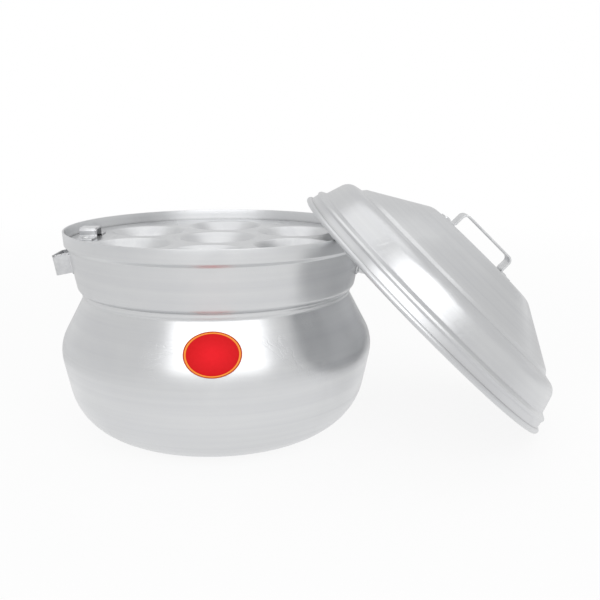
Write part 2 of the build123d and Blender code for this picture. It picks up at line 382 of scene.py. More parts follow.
class Recipe:
    """The node tree of a material or of the world."""

    def __init__(self, owner: bpy.types.Material | bpy.types.World) -> None:
        """Start an empty tree.

        Args:
            owner: What the tree dresses.
        """
        self.owner = owner
        owner.use_nodes = True
        self.tree = owner.node_tree
        self.tree.nodes.clear()

    def add(self, kind: str, inputs: dict | None = None, **settings: object) -> bpy.types.Node:
        """Add one node.

        Args:
            kind: The node's type, without its ShaderNode prefix.
            inputs: Values or sockets by the input's name or number.
            settings: The node's own settings.

        Returns:
            The new node.
        """
        node = self.tree.nodes.new("ShaderNode" + kind)
        for key, value in settings.items():
            setattr(node, key, value)
        for key, value in (inputs or {}).items():
            if isinstance(value, Socket):
                self.tree.links.new(value, node.inputs[key])
            else:
                node.inputs[key].default_value = value
        return node

    def place(self) -> Socket:
        """The place on the piece in its Object coordinates."""
        return self.add("TexCoord").outputs["Object"]

    def mapped(self, vector: Socket, kind: str = "POINT", **inputs: object) -> Socket:
        """A vector after one Mapping node, whose Location, Rotation or Scale is given."""
        return self.add("Mapping", {"Vector": vector, **inputs}, vector_type=kind).outputs[0]

    def length(self, vector: Socket) -> Socket:
        """The length of a vector."""
        return self.add("VectorMath", {0: vector}, operation="LENGTH").outputs["Value"]

    def maths(self, operation: str, first: Socket | float, second: Socket | float = 0.0) -> Socket:
        """One step of arithmetic on two values or sockets."""
        return self.add("Math", {0: first, 1: second}, operation=operation).outputs[0]

    def weighed(self, *parts: tuple[Socket, float]) -> Socket:
        """Add up values, each times its weight.

        Args:
            parts: Each value and its weight.

        Returns:
            The sum.
        """
        terms = [self.maths("MULTIPLY", value, weight) for value, weight in parts]
        total = terms[0]
        for term in terms[1:]:
            total = self.maths("ADD", total, term)
        return total

    def spread(self, value: Socket, low: float, high: float, to_low: float,
               to_high: float) -> Socket:
        """Map a value's range to another and hold it there."""
        ends = {0: value, 1: low, 2: high, 3: to_low, 4: to_high}
        return self.add("MapRange", ends, clamp=True).outputs[0]

    def noise(self, vector: Socket, rate: float, detail: float, roughness: float = 0.5,
              distortion: float = 0.0) -> Socket:
        """Noise from 0 to 1 with a rate of cells along each unit of the vector."""
        inputs = {"Vector": vector, "Scale": rate, "Detail": detail, "Roughness": roughness,
                  "Distortion": distortion}
        return self.add("TexNoise", inputs).outputs[0]

    def blend(self, share: Socket, first: Socket | str, second: Socket | str) -> Socket:
        """Blend from one colour to another.

        Args:
            share: The share of the second colour.
            first: A colour socket or hex digits.
            second: The same.

        Returns:
            The blended colour.
        """
        ends = [hex_colour(end) if isinstance(end, str) else end for end in (first, second)]
        return self.add("Mix", {0: share, 6: ends[0], 7: ends[1]}, data_type="RGBA").outputs[2]

    def bump(self, height: Socket) -> Socket:
        """A surface normal from a height in metres."""
        return self.add("Bump", {"Height": height, "Distance": 1.0, "Strength": 1.0}).outputs[0]

    def with_painted_shade(self, colour: Socket, reach: float, least: float) -> Socket:
        """Darken a colour in creases, holes and under edges, as painted shade.

        Args:
            colour: The colour before its painted shade.
            reach: How far a crease is felt, in mm.
            least: The share of the colour that is left in the deepest crease.

        Returns:
            The colour with its painted shade.
        """
        shut, clear = 0.25, 0.85
        openness = self.add("AmbientOcclusion", {"Distance": reach * MM}, samples=6).outputs["AO"]
        left = self.spread(openness, shut, clear, least, 1.0)
        return self.add("VectorMath", {0: colour, 1: left}, operation="MULTIPLY").outputs[0]

    def metal(self, **inputs: object) -> bpy.types.Material:
        """Finish a material as bare metal, with a shader's inputs by name."""
        named = {key.replace("_", " "): value for key, value in inputs.items()}
        return self.finish(self.add("BsdfPrincipled", {"Metallic": 1.0, **named}))

    def finish(self, shader: bpy.types.Node,
               output: str = "OutputMaterial") -> bpy.types.Material | bpy.types.World:
        """Send a shader to the output and give back what it dresses."""
        self.add(output, {"Surface": shader.outputs[0]})
        return self.owner


@dataclass(frozen=True)
class TurnedAluminium:
    """Aluminium turned to a satin: rings round one axis, smudges and stray scratches.

    Pitches, depths and reaches are in mm. Lathe lines are really 0.1 to 0.3 mm apart and satin
    grain is finer still. Both are under a pixel in the photograph, so they are drawn coarser.
    """

    name: str
    axis: Axis = field(default_factory=Axis)
    colour: str = "#DBDCDD"
    dark: str = "#D4D5D7"
    tint_window: Point = (0.36, 0.62)
    roughness: float = 0.36
    anisotropy: float = 0.62
    line_pitch: float = 1.5
    line_depth: float = 0.014
    line_wander: float = 0.5
    line_roughness: float = 0.03
    band_pitch: float = 7.0
    band_wander: float = 0.35
    band_share: float = 0.6
    smudge_rate: float = 21.0
    smudge_window: Point = (0.32, 0.68)
    smudge_roughness: float = 0.05
    grain_rate: float = 1900.0
    grain_depth: float = 0.004
    scratch_depth: float = 0.05
    scratch_rates: tuple[float, float, float] = (9.0, 240.0, 60.0)
    scratch_sets: tuple[Point, Point] = ((0.6, 3.0), (-0.9, 9.0))
    scratch_thinness: float = 0.012
    patch_rate: float = 34.0
    patch_window: Point = (0.54, 0.6)
    # The painted shade in creases: how far it reaches, in mm, and the share of colour left.
    painted_shade_reach: float = 4.0
    painted_shade_least: float = 0.45

    def material(self) -> bpy.types.Material:
        """Build the material from the piece's own radius and height.

        Returns:
            The material.
        """
        r = Recipe(bpy.data.materials.new(self.name))
        lean = (0, math.radians(self.axis.lean), 0)
        own = r.mapped(r.place(), "TEXTURE", Location=Vector(self.axis.centre) * MM, Rotation=lean)
        x, y, height = r.add("SeparateXYZ", {0: own}).outputs
        outward = r.add("CombineXYZ", {0: x, 1: y}).outputs[0]
        lines = self.ringed(r, outward, height, self.line_pitch, self.line_wander, detail=3.0)
        bands = self.ringed(r, outward, height, self.band_pitch, self.band_wander, detail=2.0)
        smudge = r.noise(own, self.smudge_rate, detail=4.0, roughness=0.6, distortion=0.6)
        grain = r.noise(own, self.grain_rate, detail=2.0)
        clean = r.weighed((bands, self.band_share), (smudge, 1 - self.band_share))
        tint = r.blend(r.spread(clean, *self.tint_window, 0.0, 1.0), self.dark, self.colour)
        rough = r.maths(
            "ADD",
            r.spread(smudge, *self.smudge_window, -self.smudge_roughness, self.smudge_roughness),
            r.spread(lines, *EVEN_WINDOW, self.roughness - self.line_roughness,
                     self.roughness + self.line_roughness))
        relief = r.weighed((lines, self.line_depth * MM), (grain, self.grain_depth * MM),
                           (self.scratches(r, own), -self.scratch_depth * MM))
        across = r.add("VectorMath", {0: (0, 0, 1), 1: outward}, operation="CROSS_PRODUCT")
        # A quarter turn makes a lamp's reflection stretch across the rings, as on turned metal.
        # The base colour carries painted shade, darkened in creases, holes and under edges.
        return r.metal(Base_Color=r.with_painted_shade(tint, self.painted_shade_reach, self.painted_shade_least),
                       Roughness=rough, Anisotropic=self.anisotropy, Anisotropic_Rotation=0.25,
                       Tangent=r.mapped(across.outputs[0], "VECTOR", Rotation=lean),
                       Normal=r.bump(relief))

    def ringed(self, r: Recipe, outward: Socket, height: Socket, pitch: float, wander: float,
               detail: float) -> Socket:
        """Noise that changes along the outline and hardly round the girth.

        Args:
            r: The material's recipe.
            outward: The way from the axis to the place, in metres.
            height: Height along the axis in metres.
            pitch: Distance between lines in mm.
            wander: How much the lines change round the girth.
            detail: Octaves of finer lines.

        Returns:
            The noise value.
        """
        rate = 1 / (pitch * MM)
        ring = r.add("VectorMath", {0: outward}, operation="NORMALIZE").outputs[0]
        ring_x, ring_y, _ = r.add("SeparateXYZ", {0: ring}).outputs
        spot = r.add("CombineXYZ", {0: r.weighed((r.length(outward), rate), (ring_x, wander)),
                                    1: r.maths("MULTIPLY", height, rate),
                                    2: r.maths("MULTIPLY", ring_y, wander)}).outputs[0]
        return r.noise(spot, 1.0, detail, roughness=0.6)

    def scratches(self, r: Recipe, own: Socket) -> Socket:
        """Draw thin stray scratches, few and short, in patches.

        Args:
            r: The material's recipe.
            own: The place in the piece's own frame, in metres.

        Returns:
            A value from 0 to 1, highest in a scratch.
        """
        thin = []
        for tilt, seed in self.scratch_sets:
            laid = r.mapped(own, Rotation=(tilt, tilt, seed), Scale=self.scratch_rates,
                            Location=(seed, seed, seed))
            noise = r.noise(laid, 1.0, detail=1.0, distortion=0.2)
            off_line = r.maths("SUBTRACT", noise, 0.5)
            thin.append(r.spread(r.maths("ABSOLUTE", off_line), 0.0, self.scratch_thinness,
                                 1.0, 0.0))
        where = r.noise(own, self.patch_rate, detail=1.0)
        patches = r.spread(where, *self.patch_window, 0.0, 1.0)
        return r.maths("MULTIPLY", r.maths("MAXIMUM", *thin), patches)


@dataclass(frozen=True)
class ShearedAluminium:
    """Aluminium strap or rivet: a faint straight grain and the marks of handling.

    The grain is really under 0.1 mm across, less than a pixel, so it is drawn 1 mm across.
    """

    name: str
    colour: str = "#DEDFE0"
    dark: str = "#CFD0D2"
    tint_window: Point = (0.35, 0.62)
    roughness: float = 0.38
    mark_rate: float = 130.0
    mark_roughness: Point = (0.06, -0.04)
    grain_rates: tuple[float, float, float] = (60.0, 900.0, 900.0)
    grain_roughness: Point = (-0.02, 0.03)
    grain_depth: float = 0.005
    # The painted shade in creases: how far it reaches, in mm, and the share of colour left.
    painted_shade_reach: float = 2.0
    painted_shade_least: float = 0.6

    def material(self) -> bpy.types.Material:
        """Build the material from Object coordinates.

        Returns:
            The material.
        """
        r = Recipe(bpy.data.materials.new(self.name))
        place = r.place()
        fine = r.noise(r.mapped(place, Scale=self.grain_rates), 1.0, detail=3.0, roughness=0.6)
        marks = r.noise(place, self.mark_rate, detail=4.0, roughness=0.65)
        tint = r.blend(r.spread(marks, *self.tint_window, 0.0, 1.0), self.dark, self.colour)
        worn, bright = self.mark_roughness
        rough = r.maths("ADD", r.spread(marks, *EVEN_WINDOW, self.roughness + worn,
                                        self.roughness + bright),
                        r.spread(fine, *EVEN_WINDOW, *self.grain_roughness))
        # The base colour carries painted shade, darkened in creases, holes and under edges.
        return r.metal(Base_Color=r.with_painted_shade(tint, self.painted_shade_reach, self.painted_shade_least),
                       Roughness=rough, Normal=r.bump(r.weighed((fine, self.grain_depth * MM))))


# Rivets are set with a smooth punch, so each shows one small bright spot.
RIVET_ROUGHNESS = 0.24


@dataclass(frozen=True)
class PrintedLabel:
    """A printed oval sticker: a red face, an orange ring and a dark edge, with no words.

    Its middle and half sizes are in mm. Rings are shares of the way from middle to edge.
    """

    name: str
    centre: tuple[float, float, float]
    turn: float
    half_width: float
    half_height: float
    face: str = "#EB1420"
    deep: str = "#D00A12"
    deep_window: Point = (0.3, 1.1)
    ring: str = "#F79A3C"
    ring_reach: Point = (0.895, 0.965)
    edge: str = "#B8380E"
    edge_reach: Point = (0.955, 1.3)
    print_blur: float = 0.012
    ink_rate: float = 420.0
    ink_share: float = 0.25
    ink_depth: float = 0.004
    roughness: Point = (0.38, 0.48)
    shine: float = 0.12

    def material(self) -> bpy.types.Material:
        """Build the rings from the distance to the oval's middle.

        Returns:
            The material.
        """
        r = Recipe(bpy.data.materials.new(self.name))
        place = r.place()
        own = r.mapped(place, "TEXTURE", Location=Vector(self.centre) * MM,
                       Rotation=(0, 0, math.radians(self.turn)),
                       Scale=(self.half_width * MM, 1.0, self.half_height * MM))
        reach = r.length(r.mapped(own, Scale=(1.0, 0.0, 1.0)))
        ink = r.noise(place, self.ink_rate, detail=3.0)
        depth = r.maths("ADD", reach, r.maths("MULTIPLY", ink, self.ink_share))
        colour = r.blend(r.spread(depth, *self.deep_window, 0.0, 1.0), self.face, self.deep)
        for (low, high), shade in ((self.ring_reach, self.ring), (self.edge_reach, self.edge)):
            inside = r.maths("MULTIPLY", r.spread(reach, low, low + self.print_blur, 0.0, 1.0),
                             r.spread(reach, high - self.print_blur, high, 1.0, 0.0))
            colour = r.blend(inside, colour, shade)
        return r.finish(r.add("BsdfPrincipled", {
            "Base Color": colour,
            "Roughness": r.spread(ink, *EVEN_WINDOW, *self.roughness),
            "Specular IOR Level": self.shine,
            "Normal": r.bump(r.weighed((ink, self.ink_depth * MM)))}))


# Small hardware


def level_seat(reach: float) -> float:
    """The height of a flat seat at any distance from the middle."""
    return 0.0


@dataclass
class Strap:
    """A flat strap bent to a square loop with two feet, sizes in mm and degrees."""

    name: str
    span: float
    rise: float
    foot: float
    width: float
    thickness: float
    corner: float = 3.4
    bend: float = 1.2
    foot_round: float = 2.4
    foot_round_steps: int = 5
    foot_steps: int = 4
    arc_step: float = 11.0
    run_step: float = 6.0
    edge_round: float = 0.22
    edge_angle: float = 40.0
    seat: Callable[[float], float] = level_seat

    def outline(self) -> list[Point]:
        """Draw the outer surface from one foot's end to the other's.

        Returns:
            The line in the strap's own frame.
        """
        half = self.span / 2
        reaches = [half + self.foot * (1 - k / self.foot_steps) for k in range(self.foot_steps)]
        left = [(-reach, self.seat(-reach) + self.thickness, 0.0) for reach in reaches]
        right = [(reach, self.seat(reach) + self.thickness, 0.0) for reach in reversed(reaches)]
        loop = [(-half, self.seat(-half) + self.thickness, self.bend),
                (-half, self.rise, self.corner),
                (half, self.rise, self.corner),
                (half, self.seat(half) + self.thickness, self.bend)]
        return rounded_line(left + loop + right, self.arc_step, self.run_step)

    def build(self, matrix: Matrix) -> bpy.types.Object:
        """Model the strap and put it in its place.

        Args:
            matrix: The place of the strap's own frame.

        Returns:
            The strap.
        """
        half = self.width / 2 * MM
        obj = drawn_line(self.name, [Vector((x * MM, -half, z * MM)) for x, z in self.outline()])
        across = Vector((0, 2 * half, 0))
        bpy.ops.mesh.extrude_region_move(TRANSFORM_OT_translate={"value": across})
        bpy.ops.object.mode_set(mode="OBJECT")
        reach = (self.span / 2 + self.foot) * MM
        for vertex in obj.data.vertices:
            vertex.select = abs(abs(vertex.co.x) - reach) < MM / 100
        bpy.ops.object.mode_set(mode="EDIT")
        # The edge made last is still selected in edit mode, so this divides it finely as well.
        bpy.ops.mesh.bevel(offset=self.foot_round * MM, segments=self.foot_round_steps,
                           affect="VERTICES")
        bpy.ops.mesh.select_all(action="SELECT")
        bpy.ops.mesh.normals_make_consistent(inside=False)
        bpy.ops.object.mode_set(mode="OBJECT")
        if max(obj.data.polygons, key=lambda face: face.center.z).normal.z < 0:
            flip_faces(obj)
        thicken(obj, self.thickness, self.edge_round, self.edge_angle, segments=2)
        smooth(obj)
        return placed(obj, matrix)


@dataclass
class Rivet:
    """A set rivet about Z with its head on height 0, sizes in mm and degrees."""

    grip: float
    head_radius: float = 3.2
    head_height: float = 1.2
    head_edge: float = 0.12
    head_undercut: float = 0.05
    shank_radius: float = 1.6
    tail_radius: float = 2.8
    tail_height: float = 1.0
    tail_round: float = 0.4
    dome_steps: int = 6
    round_steps: int = 28
    smooth_angle: float = 50.0

    def outline(self) -> list[Point]:
        """Draw the rivet from the middle of the tail, round the shank, to the dome's top.

        Returns:
            Radius and height of each point.
        """
        low = -self.grip - self.tail_height
        rises = [math.pi / 2 * k / self.dome_steps for k in range(1, self.dome_steps)]
        dome = [(self.head_radius * math.cos(rise), self.head_height * math.sin(rise))
                for rise in rises]
        return [(0, low), (self.tail_radius - self.tail_round, low),
                (self.tail_radius, low + self.tail_round), (self.tail_radius, -self.grip),
                (self.shank_radius, -self.grip), (self.shank_radius, 0),
                (self.head_radius - self.head_undercut, 0), (self.head_radius, self.head_edge),
                *dome, (0, self.head_height)]

    def set_at(self, name: str, places: list[Matrix]) -> bpy.types.Object:
        """Model one rivet and copy it to each place.

        Args:
            name: The name of the set.
            places: The frames of the rivets' seats.

        Returns:
            One object with all the rivets.
        """
        first = spun(name, self.outline(), self.round_steps)
        smooth(first, self.smooth_angle)
        rivets = [copied(first) for _ in places[1:]] + [first]
        for rivet, place in zip(rivets, places):
            placed(rivet, place)
        return joined(name, [first] + rivets[:-1])


# The pot


@dataclass
class Pot:
    """The spun pot: belly, neck with its bead, tapered collar, step and rim band, in mm."""

    wall: float = 1.6
    height: float = 188.1
    rim_radius: float = 140.0
    rim_edge_round: float = 0.65
    band_height: float = 12.2
    band_taper: float = 1.0
    step_width: float = 3.4
    step_height: float = 3.2
    step_corner: float = 2.2
    collar_height: float = 37.6
    collar_taper: float = 7.4
    collar_foot_corner: float = 7.0
    ledge_width: float = 3.4
    ledge_drop: float = 2.0
    bead_height: float = 5.6
    bead_depth: float = 1.4
    neck_corner: float = 2.4
    shoulder_inset: float = 1.4
    belly_overhang: float = 6.2
    belly_height_share: float = 0.658
    belly_round: float = 36.0
    bowl_inset: float = 17.6
    bowl_height_share: float = 0.021
    bowl_round: float = 55.6
    base_radius: float = 79.0
    base_round: float = 18.5

    def __post_init__(self) -> None:
        """Work out the levels that the other pieces sit on."""
        self.step_bottom = self.height - self.band_height - self.step_height
        self.collar_top_radius = self.rim_radius - self.band_taper - self.step_width
        self.collar_foot = self.step_bottom - self.collar_height
        self.collar_foot_radius = self.collar_top_radius - self.collar_taper
        self.ledge_radius = self.collar_foot_radius - self.ledge_width
        self.ledge_height = self.collar_foot - self.ledge_drop
        self.neck_low = self.ledge_height - self.bead_height
        self.neck_radius = self.ledge_radius - self.shoulder_inset

    def outline(self) -> list[Point]:
        """Draw the outer surface from the middle of the base up to the rim.

        Returns:
            Radius and height of each point.
        """
        belly = self.rim_radius + self.belly_overhang
        return rounded_line([
            (0, 0, 0),
            (self.base_radius, 0, self.base_round),
            (belly - self.bowl_inset, self.neck_low * self.bowl_height_share, self.bowl_round),
            (belly, self.neck_low * self.belly_height_share, self.belly_round),
            (self.neck_radius, self.neck_low, self.neck_corner),
            (self.neck_radius + self.bead_depth, self.neck_low + self.bead_height / 2,
             self.neck_corner),
            (self.ledge_radius, self.ledge_height, self.neck_corner),
            (self.collar_foot_radius, self.collar_foot, self.collar_foot_corner),
            (self.collar_top_radius, self.step_bottom, self.step_corner),
            (self.rim_radius - self.band_taper, self.height - self.band_height,
             self.step_corner),
            (self.rim_radius, self.height, 0),
        ])

    def build(self) -> None:
        """Spin the pot, give it its wall and a softened rim, and dress it."""
        shell = spun("spun_pot", self.outline())
        thicken(shell, self.wall, self.rim_edge_round)
        smooth(shell)
        # The spinning tool leaves rings, which draw each lamp out into a soft streak over them.
        metal = TurnedAluminium("spun satin aluminium, pot")
        finished(shell, metal.material(), Body.POT, Slot.SPUN, "pot_shell")


@dataclass
class SideLugs:
    """The two strap lugs on the collar and their rivets, sizes in mm."""

    pot: Pot
    span: float = 34.0
    reach: float = 18.0
    foot: float = 13.0
    width: float = 19.0
    thickness: float = 1.5
    below_step: float = 16.2

    def __post_init__(self) -> None:
        """Find the lug's place on the tapered collar."""
        slope = self.pot.collar_taper / self.pot.collar_height
        self.lean = math.atan(slope)
        self.seat_radius = self.pot.collar_top_radius - self.below_step * slope
        self.seat_height = self.pot.step_bottom - self.below_step

    def sag(self, reach: float) -> float:
        """How far the round collar falls away at a distance from the lug's middle."""
        return math.sqrt(self.seat_radius**2 - reach**2) - self.seat_radius

    def own_frame(self, side: float) -> Matrix:
        """Find the lug's frame: X along the girth, Y up the wall and Z out of it.

        Args:
            side: Turn about the pot's axis in degrees.

        Returns:
            The frame's matrix.
        """
        x_way = Vector((0, 1, 0))
        z_way = Vector((math.cos(self.lean), 0, -math.sin(self.lean)))
        y_way = z_way.cross(x_way)
        axes = Matrix((x_way, y_way, z_way)).transposed().to_4x4()
        return turned(side, "Z") @ moved(self.seat_radius, 0, self.seat_height) @ axes

    def build(self) -> None:
        """Model both lugs and their rivets and dress them."""
        # Strap cut from sheet has a grain along it, so it is brighter and streakier than the pot.
        strap_metal = ShearedAluminium("sheared aluminium strap, lugs",
                                       grain_rates=(900.0, 60.0, 900.0)).material()
        rivet_metal = ShearedAluminium("aluminium rivet, lugs",
                                       roughness=RIVET_ROUGHNESS).material()
        along = self.span / 2 + self.foot / 2
        swing = math.degrees(math.asin(along / self.seat_radius))
        for name, side in (("right", 0.0), ("left", 180.0)):
            strap = Strap(f"{name}_carrying_lug", self.span, self.reach, self.foot, self.width,
                          self.thickness, seat=self.sag)
            lug = strap.build(self.own_frame(side))
            finished(lug, strap_metal, Body.POT, Slot.STRAP, f"{name}_lug")
            places = [turned(swing * way, "Z") @ self.own_frame(side)
                      @ moved(0, 0, self.thickness) for way in (1, -1)]
            rivets = Rivet(self.thickness + self.pot.wall).set_at(f"{name}_lug_rivet_pair", places)
            finished(rivets, rivet_metal, Body.POT, Slot.RIVET, f"{name}_lug_rivets")


@dataclass
class FrontLabel:
    """The oval sticker on the shoulder, sizes in mm and degrees."""

    pot: Pot
    width: float = 47.0
    height: float = 33.8
    thickness: float = 0.25
    glue: float = 0.2
    place_share: float = 0.809
    turn: float = 3.8
    round_steps: int = 96
    rings: int = 10
    smooth_angle: float = 60.0

    def oval(self) -> bpy.types.Object:
        """Model a flat oval of concentric rings that stands upright at the origin.

        Returns:
            The oval.
        """
        nothing_selected()
        bpy.ops.mesh.primitive_circle_add(vertices=self.round_steps, radius=self.width / 2 * MM,
                                          location=(0, 0, 0), rotation=(math.pi / 2, 0, 0))
        obj = bpy.context.object
        obj.name = "oval_sticker"
        obj.scale = (1, self.height / self.width, 1)
        bpy.ops.object.transform_apply(location=False, rotation=True, scale=True)
        bpy.ops.object.mode_set(mode="EDIT")
        bpy.ops.mesh.select_all(action="SELECT")
        for ring in range(self.rings, 1, -1):
            bpy.ops.mesh.extrude_edges_move()
            bpy.ops.transform.resize(value=((ring - 1) / ring,) * 3, center_override=(0, 0, 0))
        bpy.ops.mesh.edge_face_add()
        bpy.ops.mesh.poke()
        bpy.ops.object.mode_set(mode="OBJECT")
        return obj

    def build(self) -> None:
        """Lay the oval on the shoulder, give it its thickness and dress it."""
        middle = self.pot.neck_low * self.place_share
        line = self.pot.outline()
        obj = self.oval()
        for vertex in obj.data.vertices:
            height = vertex.co.z / MM + middle
            radius = radius_at(line, height) + self.glue + self.thickness
            across = vertex.co.x / MM
            vertex.co = Vector((across, -math.sqrt(radius**2 - across**2), height)) * MM
        settle_faces(obj)
        if obj.data.polygons[0].normal.y > 0:
            flip_faces(obj)
        thicken(obj, self.thickness, 0.0)
        smooth(obj, self.smooth_angle)
        placed(obj, turned(self.turn, "Z"))
        # Printed film: a flat strong red, with its shine kept as low as in the photograph.
        print_finish = PrintedLabel("printed gloss sticker, no words", (0, 0, middle), self.turn,
                                    self.width / 2, self.height / 2)
        finished(obj, print_finish.material(), Body.POT, Slot.LABEL, "front_label")


# The trays


@dataclass
class Tray:
    """A pressed tray of cups with steam holes and two lifting tabs, sizes in mm and degrees."""

    title: str
    prefix: str
    body: Body
    radius: float
    ring_radius: float
    ring_cups: int
    first_angle: float
    middle_cup: bool
    hole_angles: tuple[float, ...]
    centre_hole: float = 0.0
    wall: float = 1.3
    edge_round: float = 0.18
    edge_angle: float = 60.0
    mouth_radius: float = 39.5
    mouth_margin: float = 2.0
    lip_round: float = 4.5
    floor_inset: float = 17.5
    floor_round: float = 14.0
    depth: float = 19.0
    hole_radius: float = 2.2
    hole_margin: float = 13.1
    hole_row: float = 20.0
    hole_half_pitch: float = 6.0
    tab_span: float = 20.0
    tab_rise: float = 9.5
    tab_width: float = 16.0
    tab_foot: float = 16.0
    tab_edge: float = 10.4
    tab_thickness: float = 1.5
    cup_steps: int = 72
    cup_step: float = 6.0
    hole_steps: int = 20
    centre_hole_steps: int = 40

    def cup_line(self) -> list[Point]:
        """Draw a cup's upper surface from its middle up to the flat mouth.

        Returns:
            Radius and height of each point.
        """
        lip = self.mouth_radius - 2 * self.mouth_margin
        corners = [(0, -self.depth, 0), (lip - self.floor_inset, -self.depth, self.floor_round),
                   (lip, 0, self.lip_round), (self.mouth_radius, 0, 0)]
        return rounded_line(corners, self.cup_step, self.cup_step)

    def cup_places(self) -> list[Matrix]:
        """Find where the cups stand in the tray.

        Returns:
            The place of each cup's middle, unturned.
        """
        angles = [self.first_angle + 360 * k / self.ring_cups for k in range(self.ring_cups)]
        places = [turned(angle, "Z") @ moved(self.ring_radius, 0, 0) @ turned(-angle, "Z")
                  for angle in angles]
        return places + ([Matrix.Identity(4)] if self.middle_cup else [])

    def hole_places(self) -> list[Matrix]:
        """Find where the steam holes stand in the tray, in threes.

        Returns:
            The place of each hole.
        """
        outer = self.radius - self.hole_margin
        half = math.degrees(self.hole_half_pitch / outer)
        three = ((-half, outer), (half, outer), (0.0, outer - self.hole_row))
        return [turned(angle + swing, "Z") @ moved(reach, 0, 0)
                for angle in self.hole_angles for swing, reach in three]

    def sheet(self, level: float) -> bpy.types.Object:
        """Model the sheet: a web filled between circles, and one spun cup copied to each place.

        Args:
            level: Height of the web's upper surface in metres.

        Returns:
            The tray's sheet in its place.
        """
        cup = spun("pressed_cup", self.cup_line(), self.cup_steps)
        nothing_selected()
        rim = (ROUND_STEPS, self.radius, Matrix.Identity(4))
        mouths = [(self.cup_steps, self.mouth_radius, place) for place in self.cup_places()]
        holes = [(self.hole_steps, self.hole_radius, place) for place in self.hole_places()]
        if self.centre_hole:
            holes.append((self.centre_hole_steps, self.centre_hole, Matrix.Identity(4)))
        for steps, radius, place in [rim, *mouths, *holes]:
            bpy.ops.mesh.primitive_circle_add(vertices=steps, radius=radius * MM,
                                              location=place.translation)
            bpy.ops.object.mode_set(mode="EDIT")
        web = bpy.context.object
        bpy.ops.mesh.select_all(action="SELECT")
        bpy.ops.mesh.fill(use_beauty=True)
        bpy.ops.object.mode_set(mode="OBJECT")
        cups = [placed(copied(cup), place) for place in self.cup_places()]
        object_mode(cup)
        bpy.ops.object.delete()
        sheet = joined(self.title + "_sheet", [web] + cups)
        settle_faces(sheet)
        if max(sheet.data.polygons, key=lambda face: face.area).normal.z < 0:
            flip_faces(sheet)
        thicken(sheet, self.wall, self.edge_round, self.edge_angle, segments=2)
        smooth(sheet)
        return placed(sheet, Matrix.Translation((0, 0, level)))

    def build(self) -> None:
        """Model and dress the sheet, both tabs and their rivets."""
        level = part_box(f"{self.prefix}_left_tab")[0].z
        # Pressed sheet keeps the satin of the mill, so its light is even, with faint rings.
        pressed = TurnedAluminium(f"pressed satin aluminium, {self.title}", colour="#D8D9DA",
                                  dark="#CFD0D2", anisotropy=0.15, line_pitch=1.6,
                                  line_depth=0.006)
        finished(self.sheet(level), pressed.material(), self.body, Slot.PRESSED, self.title)
        # The tabs are cut from the same strap as the lugs and look brighter than the sheet.
        strap_metal = ShearedAluminium(f"sheared aluminium strap, {self.title} tabs").material()
        rivet_metal = ShearedAluminium(f"aluminium rivet, {self.title}",
                                       roughness=RIVET_ROUGHNESS).material()
        centre = self.radius - self.tab_edge - self.tab_width / 2
        along = self.tab_span / 2 + self.tab_foot / 2
        seats = []
        for name, angle in (("left", 180.0), ("right", 0.0)):
            place = (Matrix.Translation((0, 0, level)) @ turned(angle, "Z")
                     @ moved(centre, 0, 0) @ turned(90.0, "Z"))
            strap = Strap(f"{self.title}_{name}_lifting_tab", self.tab_span, self.tab_rise,
                          self.tab_foot, self.tab_width, self.tab_thickness)
            finished(strap.build(place), strap_metal, self.body, Slot.STRAP,
                     f"{self.prefix}_{name}_tab")
            seats += [place @ moved(way * along, 0, self.tab_thickness) for way in (1, -1)]
        rivets = Rivet(self.tab_thickness + self.wall).set_at(f"{self.title}_tab_rivet_set", seats)
        finished(rivets, rivet_metal, self.body, Slot.RIVET, f"{self.prefix}_tab_rivets")


# The lid


